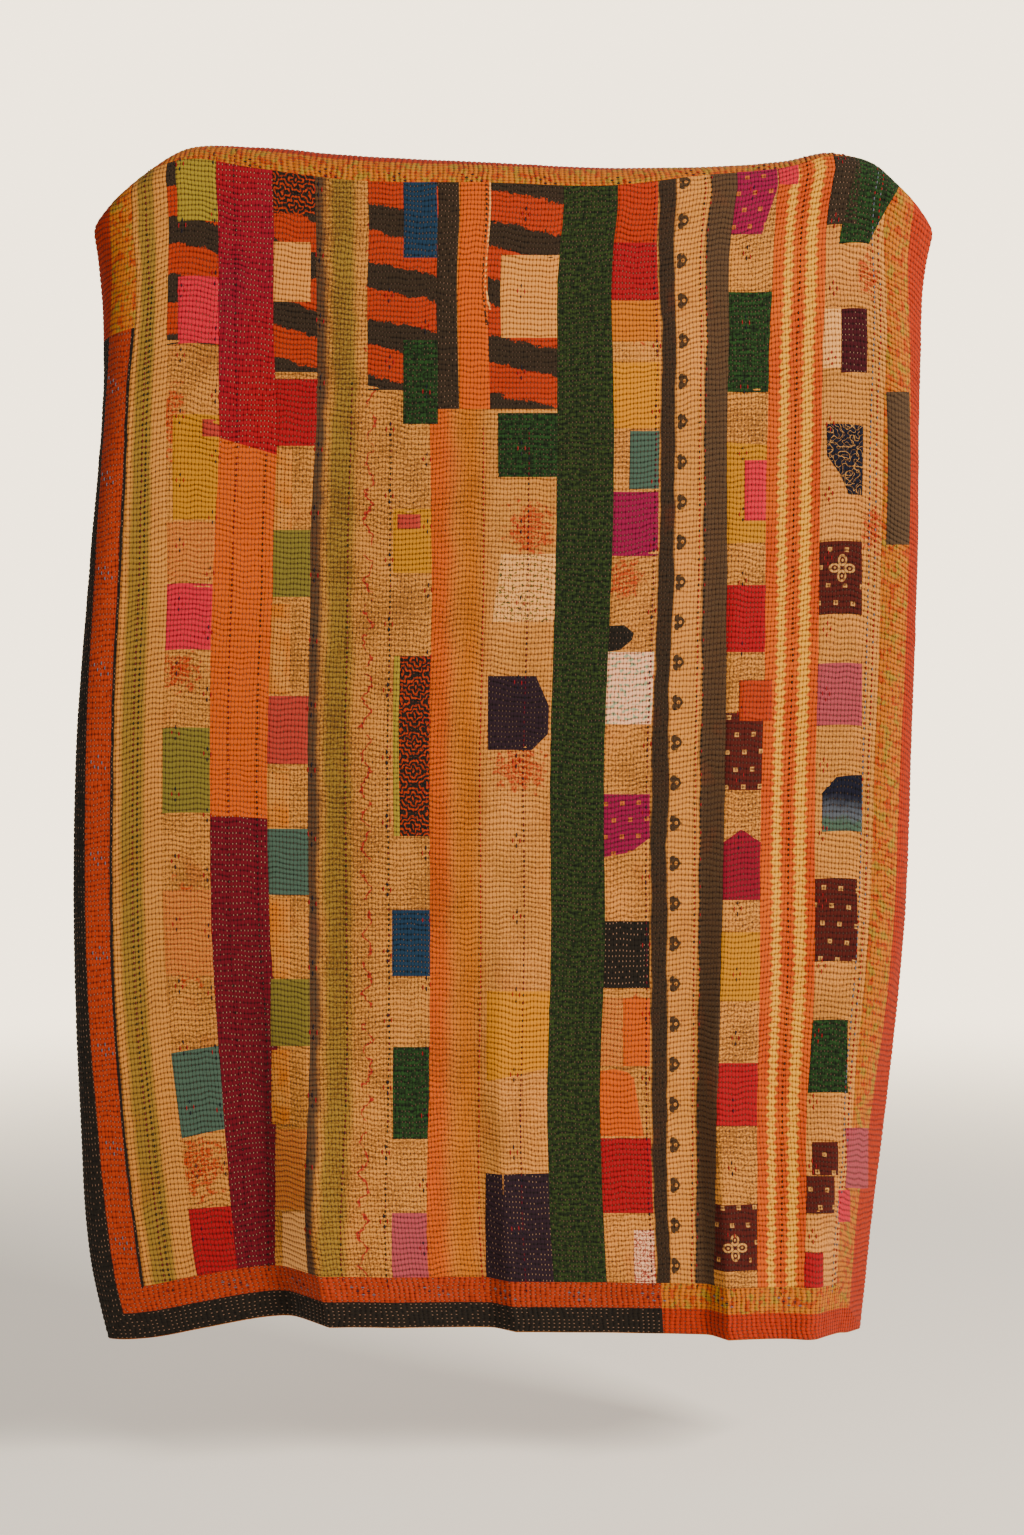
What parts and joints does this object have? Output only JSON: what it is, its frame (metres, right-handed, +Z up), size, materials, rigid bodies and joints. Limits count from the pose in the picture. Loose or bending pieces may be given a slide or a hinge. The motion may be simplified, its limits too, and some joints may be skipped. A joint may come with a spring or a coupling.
{
  "type": "patchwork quilt",
  "caption": "Thin hand-stitched patchwork quilt with border strips, hung by its top edge, with rolled top, curled sides and upright folds.",
  "frame": {"origin": "crest of the top roll, half-way between the two places where the quilt is held", "axes": "+Z up along the quilt's length, +X to the right seen from its face, face towards -Y"},
  "size_m": [1.518, 0.2381, 2.1261],
  "materials": {
    "field_cloth": "soft matt cotton patchwork with close rows of running stitch",
    "border_gold": "soft matt cotton, golden and red-orange strips with close running stitch",
    "border_rust": "soft matt cotton, black and rust strips with close running stitch",
    "backing": "soft matt cotton backing",
    "thread": "matt cotton thread"
  },
  "bodies": {
    "root": {"field": "field_cloth", "border_top": "border_gold", "border_left_top": "border_gold", "border_left": "border_rust", "border_right": "border_gold", "border_bottom_dark": "border_rust", "border_bottom_gold": "border_gold"}
  },
  "joints": []
}
